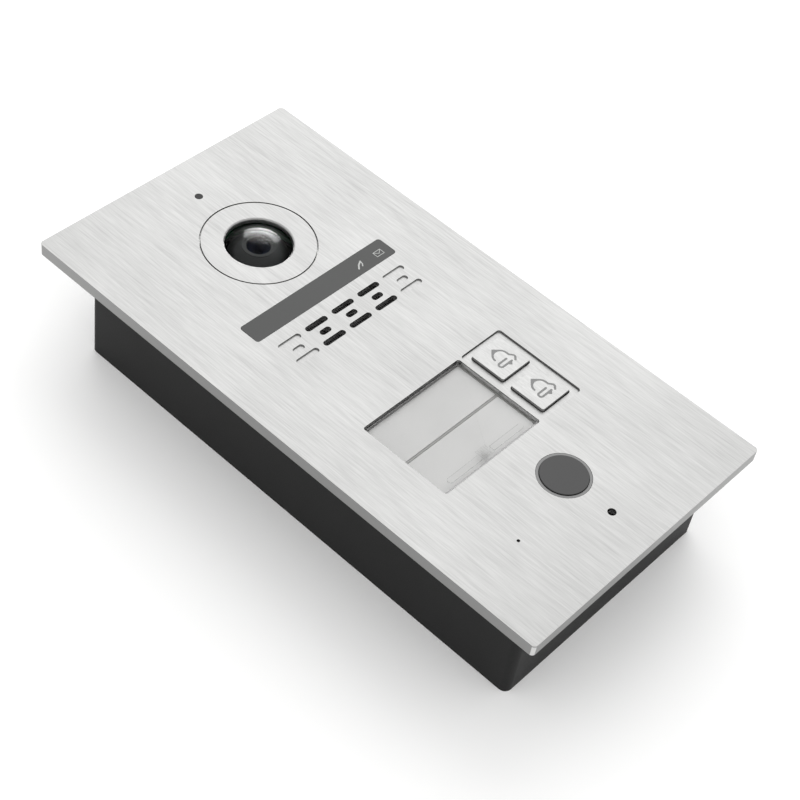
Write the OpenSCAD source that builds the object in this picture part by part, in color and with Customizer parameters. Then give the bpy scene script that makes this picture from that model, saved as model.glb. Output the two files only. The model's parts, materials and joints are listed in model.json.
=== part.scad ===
// Door intercom panel: a brushed steel front plate with a domed camera, speaker slots,
// a name window, two call buttons and a card reader, screwed to a flush wall box.
// The panel lies on the back of its box. X runs across the plate, Y runs up to the
// camera end, and Z points out of the front. The origin is under the plate's centre.

/* [Front plate] */
// Width of the front plate
plate_w = 120; // [112:1:150]
// Length of the front plate
plate_l = 231; // [226:1:290]
// Height of the plate's edge
plate_t = 4.8; // [4.4:0.1:6]
// Thickness of the plate's face inside its rim
face_t = 2.5; // [2.3:0.1:3]
// Width of the plate's rim
rim_w = 4; // [3:0.5:5]
// Corner radius of the plate
plate_r = 1.5; // [0.5:0.1:4]

/* [Flush box] */
// Outer width of the box
box_w = 103; // [100:1:110]
// Outer length of the box
box_l = 204; // [204:1:245]
// Depth of the box
box_d = 40.6; // [40.6:0.1:60]
// Wall thickness of the box
box_wall = 2.2; // [1.8:0.1:2.6]
// Corner radius of the box
box_r = 3; // [2.8:0.1:6]
// Centre of the box along the plate
box_shift = -4.2; // [-5:0.1:-4]
// Spacing of the wall fixing holes across the box
fixing_x = 70; // [60:1:74]
// Spacing of the wall fixing holes along the box
fixing_y = 150; // [130:1:160]
// Radius of a wall fixing hole
fixing_r = 2.4; // [2:0.1:3]
// Radius of the cable bore in the grommet
cable_r = 3.5; // [2.5:0.1:4.5]

/* [Camera] */
// Centre of the camera along the plate
camera_y = 66.3; // [66:0.1:67]
// Radius of the hole for the camera bezel
bezel_hole_r = 21.55; // [21:0.05:22]
// Radius of the opening in the bezel
bezel_bore_r = 12.45; // [12.3:0.05:13]
// Outer radius of the clear dome
dome_r = 18; // [17.8:0.1:18.4]
// Height of the dome above the plate
dome_rise = 2.5; // [2.3:0.1:2.6]
// Radius of the lens barrel
barrel_r = 6.25; // [5.8:0.05:6.4]

/* [Indicator and speaker] */
// Centre of the indicator strip along the plate
strip_y = 35.35; // [35:0.05:35.6]
// Length of the indicator strip
strip_l = 70.3; // [60:0.1:72]
// Height of the indicator strip
strip_h = 9.2; // [8.5:0.1:9.6]
// Centre of the speaker slots along the plate
slots_y = 19.75; // [19.4:0.05:20]
// Length of a long slot
slot_l = 10.3; // [9:0.1:11]
// Length of a short slot
short_slot_l = 4.9; // [4:0.1:6]
// Height of a slot
slot_h = 2.4; // [2:0.1:2.8]
// Spacing of the slot columns
slot_dx = 13.15; // [12.5:0.05:13.5]
// Spacing of the slot rows
slot_dy = 4.42; // [3.6:0.02:4.5]

/* [Name window and call buttons] */
// Width of the opening for the name window
window_w = 48.2; // [44:0.1:48.2]
// Height of the opening for the name window
window_h = 37.5; // [32:0.1:37.8]
// Centre of the name window across the plate
window_x = -11.7; // [-12.5:0.1:-11.7]
// Centre of the window and buttons along the plate
keys_y = -38.5; // [-39:0.1:-38.2]
// Width of the opening for the buttons
keys_w = 20.8; // [20.4:0.1:20.8]
// Height of the opening for the buttons
keys_h = 37.9; // [37:0.1:38.2]
// Centre of the buttons across the plate
keys_x = 24; // [24:0.1:24.4]
// Width of a call button
key_w = 14.7; // [13:0.1:15]
// Height of a call button
key_h = 14.5; // [13:0.1:14.8]
// Spacing of the call buttons
key_pitch = 18.1; // [17.8:0.1:18.3]
// Travel of a call button
key_travel = 0.8; // [0.4:0.1:0.9]
// Height of a call button above the plate
key_rise = 0.45; // [0.2:0.05:0.9]
// Depth of the clear window below the plate
window_drop = 0.75; // [0.6:0.05:0.8]

/* [Reader and microphone] */
// Centre of the reader along the plate
reader_y = -77.9; // [-78:0.1:-77.5]
// Radius of the reader's hole
reader_hole_r = 9.7; // [9:0.1:9.8]
// Height of the reader's disc above the plate
reader_rise = 0.45; // [0.2:0.05:1]
// Microphone's place across the plate
mic_x = -32.3; // [-32.3:0.1:-30]
// Microphone's place along the plate
mic_y = -85.3; // [-85.3:0.1:-84]

/* [Fits] */
// Gap round a piece that drops into the plate
drop_gap = 0.15; // [0.1:0.05:0.3]
// Gap round a call button
key_gap = 0.3; // [0.2:0.05:0.4]
// Radial clearance of a pin that turns or slides
run_gap = 0.05; // [0.02:0.01:0.1]
// Radial clearance of a stud or screw in a hole
screw_gap = 0.2; // [0.1:0.05:0.4]

/* [Hidden] */
$fn = 64;
eps = 0.01;

// Levels, from the back of the box to the front of the plate
top_z = box_d + plate_t;
face_z = top_z - face_t;
flange_t = 1.5;
flange_z = face_z - flange_t;
deck_t = 2;
deck_z = flange_z - deck_t;
pcb_t = 1.6;
board_drop = 7.7;
board_z = face_z - board_drop - pcb_t;
board_top_z = board_z + pcb_t;
cable_space = 7.8;
tub_z = box_wall + cable_space;
tub_wall = 2;
tub_floor_z = tub_z + tub_wall;
standoff_h = 2.4;
main_z = tub_floor_z + standoff_h;
main_top_z = main_z + pcb_t;
seal_t = 0.5;

// The inside of the box
box_y0 = box_shift - box_l / 2;
box_y1 = box_shift + box_l / 2;
in_y0 = box_y0 + box_wall;
in_y1 = box_y1 - box_wall;
in_w = box_w - 2 * box_wall;

// Top hook and bottom screw
hook_t = 1.5;
hook_w = 20;
hook_gap = 0.5;
hook_drop = 7.8;
hook_slot_play = 0.6;
rivet_r = 1.55;
rivet_y = in_y1 + 2.3;
hook_end_y = rivet_y + 5.1;
screw_y = in_y0 + 5.7;
screw_r = 2;
screw_access_r = 1.55;
screw_head_r = 3.5;
screw_head_h = 3.6;
screw_head_z = flange_z - screw_head_h;
clip_t = 1.2;
boss_r = 4.5;
boss_gap = 1;
boss_z = screw_head_z - clip_t - boss_gap;

// The tub that carries the electronics
tub_gap = 3.3;
tub_w = in_w - 2 * tub_gap;
tub_y0 = screw_y + 6.3;
tub_y1 = in_y1 - 3.6;
tub_l = tub_y1 - tub_y0;
tub_cy = (tub_y0 + tub_y1) / 2;
tub_r = 2.5;
stack_gap = 0.5;
stack_w = tub_w - 2 * tub_wall - 2 * stack_gap;
stack_l = tub_l - 2 * tub_wall - 2 * stack_gap;

// Studs on the back of the plate
stud_r = 1.5;
stud_pad_r = 4;
stud_inset = 5.5;
nut_h = 2.4;
nut_r = 3.18;
stud_end_z = tub_z - nut_h - 0.6;
stud_xs = [-(tub_w / 2 - stud_inset), tub_w / 2 - stud_inset];
stud_ys = [tub_y0 + stud_inset, tub_cy, tub_y1 - stud_inset];
studs = [for (x = stud_xs) for (y = stud_ys) [x, y]];

// Camera
pivot_z = top_z + dome_rise - dome_r;
bezel_gap = 0.5;
bezel_r = bezel_hole_r - bezel_gap;
bezel_flange_r = bezel_hole_r + 1.7;
dome_t = 1.2;
dome_flange_r = 16.7;
dome_flange_t = 1.3;
dome_seat_gap = 0.3;
dome_seal_t = 0.5;
dome_seat_z = flange_z + dome_flange_t + dome_seal_t;
carrier_camera_r = bezel_flange_r - 1.35;
board_camera_r = 17.5;
ball_r = 10.8;
ball_cut = 7;
neck_r = 7.6;
mask_r = 15.3;
mask_t = 1;
mask_edge_r = 11.5;
barrel_h = 14.2;
barrel_z = 3;
lens_r = 4.5;
lens_seat = 1.6;
ring_in_r = 12.5;
ring_out_r = 15;
ring_h = 4;
pin_r = 1.2;
pin_grip = 2.3;
socket_in_r = 16.4;
socket_out_r = 20;
socket_flange_r = 23.2;
socket_flange_t = 2;
socket_z = pivot_z - 3.5;
sensor_w = 18;

// Indicator strip
strip_r = 1.3;
strip_fit = 0.1;
strip_flange = 1.5;
icon_depth = 0.15;
icon_drop = 0.7;
handset_x = 19.8;
envelope_x = 29.6;
guide_gap = 1.2;
guide_fit = 0.5;
strip_seat = 1.65;
strip_rest = 0.9;

// Speaker
blind_depth = 0.6;
mesh_t = 0.4;
mesh_w = 42;
mesh_h = 15;
speaker_w = 44;
speaker_h = 18;
speaker_d = 8;
speaker_wall = 1.5;
magnet_r = 8;
magnet_h = 5;
gasket_wall = 1.2;
speaker_fit = 0.5;

// Name window
window_r = 1;
lid_t = 1.5;
lid_w = window_w - 2 * drop_gap;
lid_z = top_z - window_drop - lid_t;
window_top_y = keys_y + window_h / 2;
lid_low_y = keys_y - window_h / 2 + drop_gap;
hinge_y = window_top_y - drop_gap - lid_t / 2;
hinge_z = lid_z + lid_t / 2;
hinge_r = 0.5;
barrel_w = lid_w - 2 * window_r;
lid_high_y = hinge_y - 1.2;
hinge_pin_l = 1.2;
groove_w = 38;
groove_h = 2.3;
groove_y = keys_y - 15.2;
groove_depth = 0.5;
grip_w = 5.9;
grip_h = 4.2;
ribs = 5;
tray_left = 3;
tray_right = 0.5;
tray_rim = 2.7;
tray_seat = 2;
tray_w = window_w + tray_left + tray_right;
tray_x = window_x + (tray_right - tray_left) / 2;
tray_h = window_h + 2 * tray_rim;
card_t = 0.3;
card_pocket = 0.2;
card_gap = 0.15;
divider_w = 0.8;
cards_w = window_w - 1.2;
cards_h = window_h - 1.2;
card_w = cards_w - 2 * card_gap;
card_h = (cards_h - divider_w) / 2 - 2 * card_gap;
card_dy = (card_h + divider_w) / 2 + card_gap;

// Call buttons
keys_r = 1.3;
key_r = 0.8;
key_drop = 0.8;
key_lip = 1.1;
key_lip_t = 1;
key_rest_gap = 0.1;
lip_room = 0.5;
key_top_z = top_z + key_rise;
key_lip_z = flange_z - key_rest_gap - key_lip_t;
dome_squash = 2;
key_post_z = board_top_z + dome_squash + key_travel;
key_post_r = 2;
keys_flange = 2.6;
keys_flange_left = 0.5;
keys_flange_x0 = keys_x - keys_w / 2 - keys_flange_left;
keys_flange_x1 = keys_x + keys_w / 2 + keys_flange;
keys_flange_w = keys_flange_x1 - keys_flange_x0;
keys_flange_cx = (keys_flange_x0 + keys_flange_x1) / 2;
keys_flange_h = keys_h + 2 * keys_flange - 1;
icon_line = 0.75;
bell_r = 3;
bell_middle = [0.4, 0.4];
bell_peak = 4.5;
bell_waist = [3.35, -0.5];
bell_flare = [4.5, -1.95];
bell_lip = [4.5, -2.65];
bell_lip_end = [3.3, -3.75];
bell_rim_top = -1.35;
bell_rim_low = -3.2;
bell_rim_left = -2.6;
bell_rim_top_end = 1.2;
bell_rim_low_end = 2;
bell_clapper = [[-0.6, -3.2], [2, -3.2], [0.7, -4.6]];

// Reader
reader_ring_r = reader_hole_r - 0.1;
reader_flange_r = reader_hole_r + 1.6;
reader_cap_r = reader_hole_r - 1.2;
reader_lip_r = reader_hole_r + 0.3;
reader_lip_t = 1;

// Microphone
mic_hole_r = 0.6;
mic_boot_r = 3.5;
mic_boot_fit = 0.1;
mic_capsule_r = 2.2;
mic_capsule_h = 2.2;

// Main board
board_w = 72;
board_end_gap = 4.5;
board_l = stack_l - 2 * board_end_gap;
post_r = 3;
post_hole_r = 1.2;
post_inset = 4.5;
posts = [for (x = [-1, 1]) for (y = [-1, 1])
    [x * (board_w / 2 - post_inset), tub_cy + y * (board_l / 2 - post_inset)]];
terminal_y = -60;
terminal_w = 41;
terminal_d = 9;
terminal_h = 9;
terminal_pitch = 5;
ways = 8;
ribbon_y = -5;

// Tamper switch
tamper_x = 28;
tamper_y = 35;
plunger_r = 1.8;
plunger_travel = 1;
plunger_room = 1;
switch_h = 6;
switch_roof = 1;
stop_h = 2.8;
collar_r = 2.6;
collar_gap = 0.3;

// Cable way and knockouts
grommet_y = -35;
grommet_r = 6;
grommet_flange_r = 9;
grommet_flange_t = 1.8;
knockout_r = 10;
knockout_dx = 22;
knockout_y = 58;
knockout_depth = 1.2;

// ---- shapes used by several pieces ----

module rounded(w, l, r) {
    square([w - 2 * r, l], center = true);
    square([w, l - 2 * r], center = true);
    for (x = [-1, 1], y = [-1, 1])
        translate([x * (w / 2 - r), y * (l / 2 - r)]) circle(r);
}

module stadium(w, h) {
    square([w - h, h], center = true);
    for (x = [-1, 1])
        translate([x * (w - h) / 2, 0]) circle(h / 2);
}

module slab(x, y, z, w, l, h, r) {
    translate([x, y, z]) linear_extrude(h) rounded(w, l, r);
}

module disc(x, y, z, r, h) {
    translate([x, y, z]) cylinder(h = h, r = r);
}

module race(x, y, z, w, h, t) {
    translate([x, y, z]) linear_extrude(t) stadium(w, h);
}

module at_studs() {
    for (p = studs)
        translate([p[0], p[1], 0]) children();
}

module at_keys() {
    for (s = [1, -1])
        translate([keys_x, keys_y + s * key_pitch / 2, 0]) children();
}

// A bar along X through the pivot of the camera
module cross_bar(r, from, to) {
    for (s = [0, 180])
        translate([0, camera_y, pivot_z])
            rotate([0, 0, s]) rotate([0, 90, 0])
                translate([0, 0, from]) cylinder(h = to - from, r = r);
}

// A bar along Y through the pivot of the camera
module long_bar(r, from, to) {
    for (s = [90, 270])
        translate([0, camera_y, pivot_z])
            rotate([0, 0, s]) rotate([0, 90, 0])
                translate([0, 0, from]) cylinder(h = to - from, r = r);
}

// ---- front plate and what holds it ----

module slot_grid(cols, long, depth) {
    for (c = cols) {
        for (row = [-1, 1])
            race(c * slot_dx, slots_y + row * slot_dy, top_z - depth, long, slot_h, depth + eps);
        race(c * slot_dx, slots_y, top_z - depth, short_slot_l, slot_h, depth + eps);
    }
}

module front_plate() {
    cut_z = face_z - eps;
    cut_t = face_t + 2 * eps;
    color("gainsboro") difference() {
        slab(0, 0, box_d, plate_w, plate_l, plate_t, plate_r);
        slab(0, 0, box_d - eps, plate_w - 2 * rim_w, plate_l - 2 * rim_w,
            plate_t - face_t + eps, plate_r);
        disc(0, camera_y, cut_z, bezel_hole_r, cut_t);
        slab(0, strip_y, cut_z, strip_l, strip_h, cut_t, strip_r);
        slot_grid([-1, 0, 1], slot_l, face_t + eps);
        slot_grid([-2, 2], slot_l, blind_depth);
        slab(window_x, keys_y, cut_z, window_w, window_h, cut_t, window_r);
        slab(keys_x, keys_y, cut_z, keys_w, keys_h, cut_t, keys_r);
        disc(0, reader_y, cut_z, reader_hole_r, cut_t);
        disc(mic_x, mic_y, cut_z, mic_hole_r, cut_t);
        disc(0, rivet_y, cut_z, rivet_r, cut_t);
        disc(0, screw_y, cut_z, screw_access_r, cut_t);
        translate([window_x - window_w / 2 - hinge_pin_l, hinge_y, hinge_z])
            rotate([0, 90, 0]) cylinder(h = window_w + 2 * hinge_pin_l, r = hinge_r + run_gap);
    }
}

module plate_studs() {
    color("silver") at_studs()
        translate([0, 0, stud_end_z]) cylinder(h = face_z - stud_end_z, r = stud_r);
}

module stud_nuts() {
    color("silver") at_studs() difference() {
        translate([0, 0, tub_z - nut_h]) cylinder(h = nut_h, r = nut_r, $fn = 6);
        translate([0, 0, tub_z - nut_h - eps]) cylinder(h = nut_h + 2 * eps, r = stud_r);
    }
}

module plate_gasket() {
    outer_gap = 0.2;
    box_cover = 1.5;
    inner_y0 = box_y0 + box_cover;
    inner_y1 = hook_end_y + 1;
    color("dimgray") difference() {
        slab(0, 0, box_d, plate_w - 2 * rim_w - 2 * outer_gap,
            plate_l - 2 * rim_w - 2 * outer_gap, face_z - box_d, plate_r);
        slab(0, (inner_y0 + inner_y1) / 2, box_d - eps, box_w - 2 * box_cover,
            inner_y1 - inner_y0, face_z - box_d + 2 * eps, plate_r);
    }
}

module hook_bracket() {
    leg_y = in_y1 - hook_gap - hook_t;
    lip_end_y = box_y1 + 1;
    color("silver") difference() {
        union() {
            translate([-hook_w / 2, leg_y, flange_z])
                cube([hook_w, hook_end_y - leg_y, flange_t]);
            translate([-hook_w / 2, leg_y, flange_z - hook_drop])
                cube([hook_w, hook_t, hook_drop + eps]);
            translate([-hook_w / 2, leg_y, flange_z - hook_drop])
                cube([hook_w, lip_end_y - leg_y, hook_t]);
        }
        disc(0, rivet_y, flange_z - eps, rivet_r, flange_t + 2 * eps);
    }
}

module hook_rivet() {
    head_t = 0.6;
    head_r = 2.4;
    color("black") union() {
        disc(0, rivet_y, flange_z - eps, rivet_r, top_z - flange_z - 0.04);
        disc(0, rivet_y, flange_z - head_t, head_r, head_t);
    }
}

module screw_clip() {
    leg_x = 7;
    foot_x = 11;
    clip_l = 8;
    web_z = screw_head_z - clip_t;
    color("silver") difference() {
        union() {
            translate([-leg_x - clip_t / 2, screw_y - clip_l / 2, web_z])
                cube([2 * leg_x + clip_t, clip_l, clip_t]);
            for (s = [-1, 1]) {
                translate([s * leg_x - clip_t / 2, screw_y - clip_l / 2, web_z])
                    cube([clip_t, clip_l, face_z - web_z]);
                translate([s * (leg_x + foot_x) / 2 - (foot_x - leg_x) / 2,
                    screw_y - clip_l / 2, face_z - clip_t])
                    cube([foot_x - leg_x, clip_l, clip_t]);
            }
        }
        disc(0, screw_y, web_z - eps, screw_r + screw_gap, clip_t + 2 * eps);
    }
}

module security_screw() {
    shank_l = 15.8;
    socket_r = 1.44;
    socket_depth = 2;
    color("silver") difference() {
        union() {
            disc(0, screw_y, screw_head_z, screw_head_r, screw_head_h);
            disc(0, screw_y, screw_head_z - shank_l, screw_r, shank_l + eps);
        }
        translate([0, screw_y, flange_z - socket_depth])
            cylinder(h = socket_depth + eps, r = socket_r, $fn = 6);
    }
}

// ---- camera ----

module camera_bezel() {
    color("gainsboro") difference() {
        union() {
            disc(0, camera_y, flange_z, bezel_flange_r, flange_t);
            disc(0, camera_y, flange_z, bezel_r, top_z - flange_z);
        }
        disc(0, camera_y, flange_z - eps, dome_flange_r + dome_seat_gap, dome_seat_z - flange_z + eps);
        disc(0, camera_y, flange_z, bezel_bore_r, top_z - flange_z + eps);
    }
}

module dome_cover() {
    color("lightgray", 0.4) difference() {
        union() {
            intersection() {
                translate([0, camera_y, pivot_z]) sphere(dome_r);
                disc(0, camera_y, flange_z, dome_r, dome_r);
            }
            disc(0, camera_y, flange_z, dome_flange_r, dome_flange_t);
        }
        translate([0, camera_y, pivot_z]) sphere(dome_r - dome_t);
    }
}

module dome_seal() {
    inner_r = bezel_bore_r + 0.6;
    color("black") difference() {
        disc(0, camera_y, dome_seat_z - dome_seal_t, dome_flange_r, dome_seal_t);
        disc(0, camera_y, dome_seat_z - dome_seal_t - eps, inner_r, dome_seal_t + 2 * eps);
    }
}

module camera_socket() {
    color("dimgray") difference() {
        union() {
            disc(0, camera_y, socket_z, socket_out_r, board_z - socket_z);
            disc(0, camera_y, board_z - socket_flange_t, socket_flange_r, socket_flange_t);
        }
        disc(0, camera_y, socket_z - eps, socket_in_r, board_z - socket_z + 2 * eps);
        cross_bar(pin_r + run_gap, socket_in_r - 1, socket_out_r + 1);
    }
}

module tilt_ring() {
    color("gray") difference() {
        disc(0, camera_y, pivot_z - ring_h / 2, ring_out_r, ring_h);
        disc(0, camera_y, pivot_z - ring_h / 2 - eps, ring_in_r, ring_h + 2 * eps);
        cross_bar(pin_r, ring_in_r - 1, ring_out_r + 1);
        long_bar(pin_r + run_gap, ring_in_r - 1, ring_out_r + 1);
    }
}

module tilt_pins() {
    color("silver") cross_bar(pin_r, ring_in_r + 0.5, socket_out_r - 0.4);
}

module camera_eye() {
    color([0.08, 0.08, 0.08]) difference() {
        union() {
            intersection() {
                translate([0, camera_y, pivot_z]) sphere(ball_r);
                disc(0, camera_y, pivot_z - ball_cut, ball_r, 2 * ball_r);
            }
            intersection() {
                disc(0, camera_y, pivot_z, neck_r, mask_r);
                translate([0, camera_y, pivot_z]) sphere(mask_r);
            }
            intersection() {
                difference() {
                    translate([0, camera_y, pivot_z]) sphere(mask_r);
                    translate([0, camera_y, pivot_z]) sphere(mask_r - mask_t);
                }
                disc(0, camera_y, pivot_z + neck_r, mask_edge_r, mask_r);
            }
        }
        disc(0, camera_y, pivot_z + barrel_z, barrel_r, mask_r);
        disc(0, camera_y, pivot_z - ball_cut - eps, lens_r, ball_cut + barrel_z + 2 * eps);
        long_bar(pin_r, ball_r - pin_grip, ball_r + 1);
    }
}

module pan_pins() {
    color("silver") long_bar(pin_r, ball_r - pin_grip, ring_out_r - 0.2);
}

module lens_barrel() {
    front_z = pivot_z + barrel_h;
    step = 0.35;
    color([0.05, 0.05, 0.05]) difference() {
        disc(0, camera_y, pivot_z + barrel_z, barrel_r, barrel_h - barrel_z);
        disc(0, camera_y, pivot_z + barrel_z - eps, lens_r - 1, barrel_h);
        disc(0, camera_y, front_z - lens_seat, lens_r, lens_seat + eps);
        disc(0, camera_y, front_z - step, lens_r + 0.9, step + eps);
    }
}

module front_lens() {
    bulge_r = 8;
    crown = 0.35;
    seat_z = pivot_z + barrel_h - lens_seat;
    color("lightsteelblue", 0.5) intersection() {
        disc(0, camera_y, seat_z, lens_r, 2 * lens_seat);
        translate([0, camera_y, pivot_z + barrel_h + crown - bulge_r]) sphere(bulge_r);
    }
}

module sensor_board() {
    board_t = 1;
    color("darkgreen") union() {
        slab(0, camera_y, pivot_z - ball_cut - board_t, sensor_w, sensor_w, board_t, 1);
        slab(0, camera_y, pivot_z - ball_cut - eps, 5, 5, 1, 0.3);
    }
}

// ---- indicator strip ----

// A handset seen end on: a long back and a short hook
module handset_icon() {
    back_w = 0.6;
    hook_w = 0.42;
    tip = [1.45, 1.3];
    elbow = [-0.45, 0.2];
    hook = [1.2, -0.05];
    stroke([-1.7, -1.2], elbow, back_w);
    stroke(elbow, tip, back_w);
    stroke(tip, hook, hook_w);
    stroke(hook, [0.45, -0.95], hook_w);
}

module envelope_icon() {
    w = 3.8;
    h = 2.6;
    line = 0.24;
    difference() {
        square([w, h], center = true);
        square([w - 2 * line, h - 2 * line], center = true);
    }
    for (s = [-1, 1])
        stroke([0, -0.3], [s * (w / 2 - line), h / 2 - line], line);
}

module both_icons(depth, extra) {
    y = strip_y - icon_drop;
    translate([handset_x, y, top_z - depth]) linear_extrude(depth + extra) handset_icon();
    translate([envelope_x, y, top_z - depth]) linear_extrude(depth + extra) envelope_icon();
}

module indicator_window() {
    color("dimgray") difference() {
        union() {
            slab(0, strip_y, flange_z, strip_l - 2 * strip_fit, strip_h - 2 * strip_fit,
                top_z - flange_z, strip_r - strip_fit);
            slab(0, strip_y, flange_z, strip_l + 2 * strip_flange, strip_h + 2 * strip_flange - 0.2,
                flange_t, strip_r);
        }
        both_icons(icon_depth, eps);
    }
}

module indicator_icons() {
    color("white") both_icons(icon_depth, 0);
}

module light_guide() {
    color("white", 0.6) slab(0, strip_y, board_top_z + guide_gap,
        strip_l - 2 * strip_seat - 2 * guide_fit, strip_h - 2 * strip_rest - 2 * guide_fit,
        flange_z - board_top_z - guide_gap, 1 - guide_fit);
}

module board_leds() {
    led = [3, 1.6, 0.9];
    strip_leds = [for (x = [handset_x, envelope_x]) [x, strip_y]];
    card_leds = [for (x = [-1, 0, 1]) for (y = [-1, 1])
        [window_x + x * window_w / 3, keys_y + y * window_h / 4]];
    color("lemonchiffon") for (p = concat(strip_leds, card_leds))
        slab(p[0], p[1], board_top_z, led[0], led[1], led[2], 0.2);
}

// ---- speaker ----

module speaker_mesh() {
    color([0.1, 0.1, 0.1]) slab(0, slots_y, face_z - mesh_t, mesh_w, mesh_h, mesh_t, 2);
}

module speaker_gasket() {
    h = face_z - mesh_t - flange_z;
    color("black") difference() {
        slab(0, slots_y, flange_z, mesh_w, mesh_h, h, 2);
        slab(0, slots_y, flange_z - eps, mesh_w - 2 * gasket_wall, mesh_h - 2 * gasket_wall,
            h + 2 * eps, 1.5);
    }
}

module speaker_frame() {
    base_t = 2;
    coil_r = 5.6;
    z = deck_z - speaker_d;
    color("darkslategray") difference() {
        race(0, slots_y, z, speaker_w, speaker_h, speaker_d);
        race(0, slots_y, z + base_t, speaker_w - 2 * speaker_wall, speaker_h - 2 * speaker_wall, speaker_d);
        disc(0, slots_y, z - eps, coil_r, base_t + 2 * eps);
    }
}

module speaker_cone() {
    paper_t = 0.6;
    paper_z = deck_z - 1.4;
    voice_coil_r = 5;
    voice_coil_l = 4.6;
    color([0.15, 0.15, 0.15]) union() {
        race(0, slots_y, paper_z, speaker_w - 2 * speaker_wall, speaker_h - 2 * speaker_wall, paper_t);
        difference() {
            disc(0, slots_y, paper_z - voice_coil_l, voice_coil_r, voice_coil_l + paper_t);
            disc(0, slots_y, paper_z - voice_coil_l - eps, voice_coil_r - 0.5, voice_coil_l);
        }
    }
}

module speaker_magnet() {
    z = deck_z - speaker_d - magnet_h;
    color("silver") disc(0, slots_y, z, magnet_r, magnet_h);
}

// ---- call buttons ----

// A straight line with round ends
module stroke(a, b, w) {
    run = b - a;
    translate(a) rotate(atan2(run[1], run[0])) translate([0, -w / 2]) square([norm(run), w]);
    for (end = [a, b])
        translate(end) circle(w / 2);
}

// A bell drawn in broken lines: a peaked dome with one flared foot, and a rim with its clapper
module bell_icon() {
    out_r = bell_r + icon_line / 2;
    touch_y = out_r * out_r / bell_peak;
    touch_x = out_r * sqrt(1 - out_r * out_r / (bell_peak * bell_peak));
    loop_r = (bell_rim_top - bell_rim_low) / 2;
    translate(bell_middle) difference() {
        union() {
            circle(out_r);
            polygon([[-touch_x, touch_y], [0, bell_peak], [touch_x, touch_y]]);
        }
        circle(out_r - icon_line);
        translate([0, -out_r]) square(2 * out_r, center = true);
    }
    stroke([bell_middle[0] + bell_r, bell_middle[1]], bell_waist, icon_line);
    stroke(bell_waist, bell_flare, icon_line);
    stroke(bell_flare, bell_lip, icon_line);
    stroke(bell_lip, bell_lip_end, icon_line);
    stroke([bell_rim_left, bell_rim_top], [bell_rim_top_end, bell_rim_top], icon_line);
    stroke([bell_rim_left, bell_rim_low], [bell_rim_low_end, bell_rim_low], icon_line);
    translate([bell_rim_left, bell_rim_top - loop_r]) difference() {
        circle(loop_r + icon_line / 2);
        circle(loop_r - icon_line / 2);
        translate([out_r, 0]) square(2 * out_r, center = true);
    }
    polygon(bell_clapper);
}

module button_frame() {
    color("gainsboro") difference() {
        union() {
            slab(keys_x, keys_y, flange_z, keys_w - 2 * drop_gap, keys_h - 2 * drop_gap,
                top_z - key_drop - flange_z, keys_r - drop_gap);
            slab(keys_flange_cx, keys_y, flange_z, keys_flange_w, keys_flange_h, flange_t, 1);
        }
        at_keys() slab(0, 0, flange_z - eps, key_w + 2 * key_gap, key_h + 2 * key_gap,
            top_z - flange_z, key_r + key_gap);
    }
}

module call_button(side) {
    y = keys_y + side * key_pitch / 2;
    pocket_w = 10;
    pocket_depth = 3.2;
    color("whitesmoke") difference() {
        union() {
            slab(keys_x, y, key_lip_z, key_w, key_h, key_top_z - key_lip_z, key_r);
            slab(keys_x, y, key_lip_z, key_w + 2 * key_lip, key_h + 2 * key_lip, key_lip_t, key_r);
            disc(keys_x, y, key_post_z, key_post_r, key_lip_z + pocket_depth - key_post_z);
        }
        difference() {
            slab(keys_x, y, key_lip_z - eps, pocket_w, pocket_w, pocket_depth, 1);
            disc(keys_x, y, key_post_z - eps, key_post_r, 4 * pocket_depth);
        }
        translate([keys_x, y, key_top_z - icon_depth]) linear_extrude(icon_depth + eps) bell_icon();
    }
}

module call_button_upper() {
    call_button(1);
}

module call_button_lower() {
    call_button(-1);
}

module bell_inlay(side) {
    color("gray") translate([keys_x, keys_y + side * key_pitch / 2, key_top_z - icon_depth])
        linear_extrude(icon_depth) bell_icon();
}

module bell_icon_upper() {
    bell_inlay(1);
}

module bell_icon_lower() {
    bell_inlay(-1);
}

// A silicone dome that pushes its button back up
module return_dome(side) {
    h = key_post_z - board_top_z;
    color("lightgray") translate([keys_x, keys_y + side * key_pitch / 2, board_top_z])
        rotate_extrude()
            polygon([
                [3.6, 0], [5.6, 0], [5.6, 0.8], [4.9, 0.8], [2.6, h], [0, h], [0, h - 0.8], [2, h - 0.8]
            ]);
}

module return_dome_upper() {
    return_dome(1);
}

module return_dome_lower() {
    return_dome(-1);
}

// ---- name window ----

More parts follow.
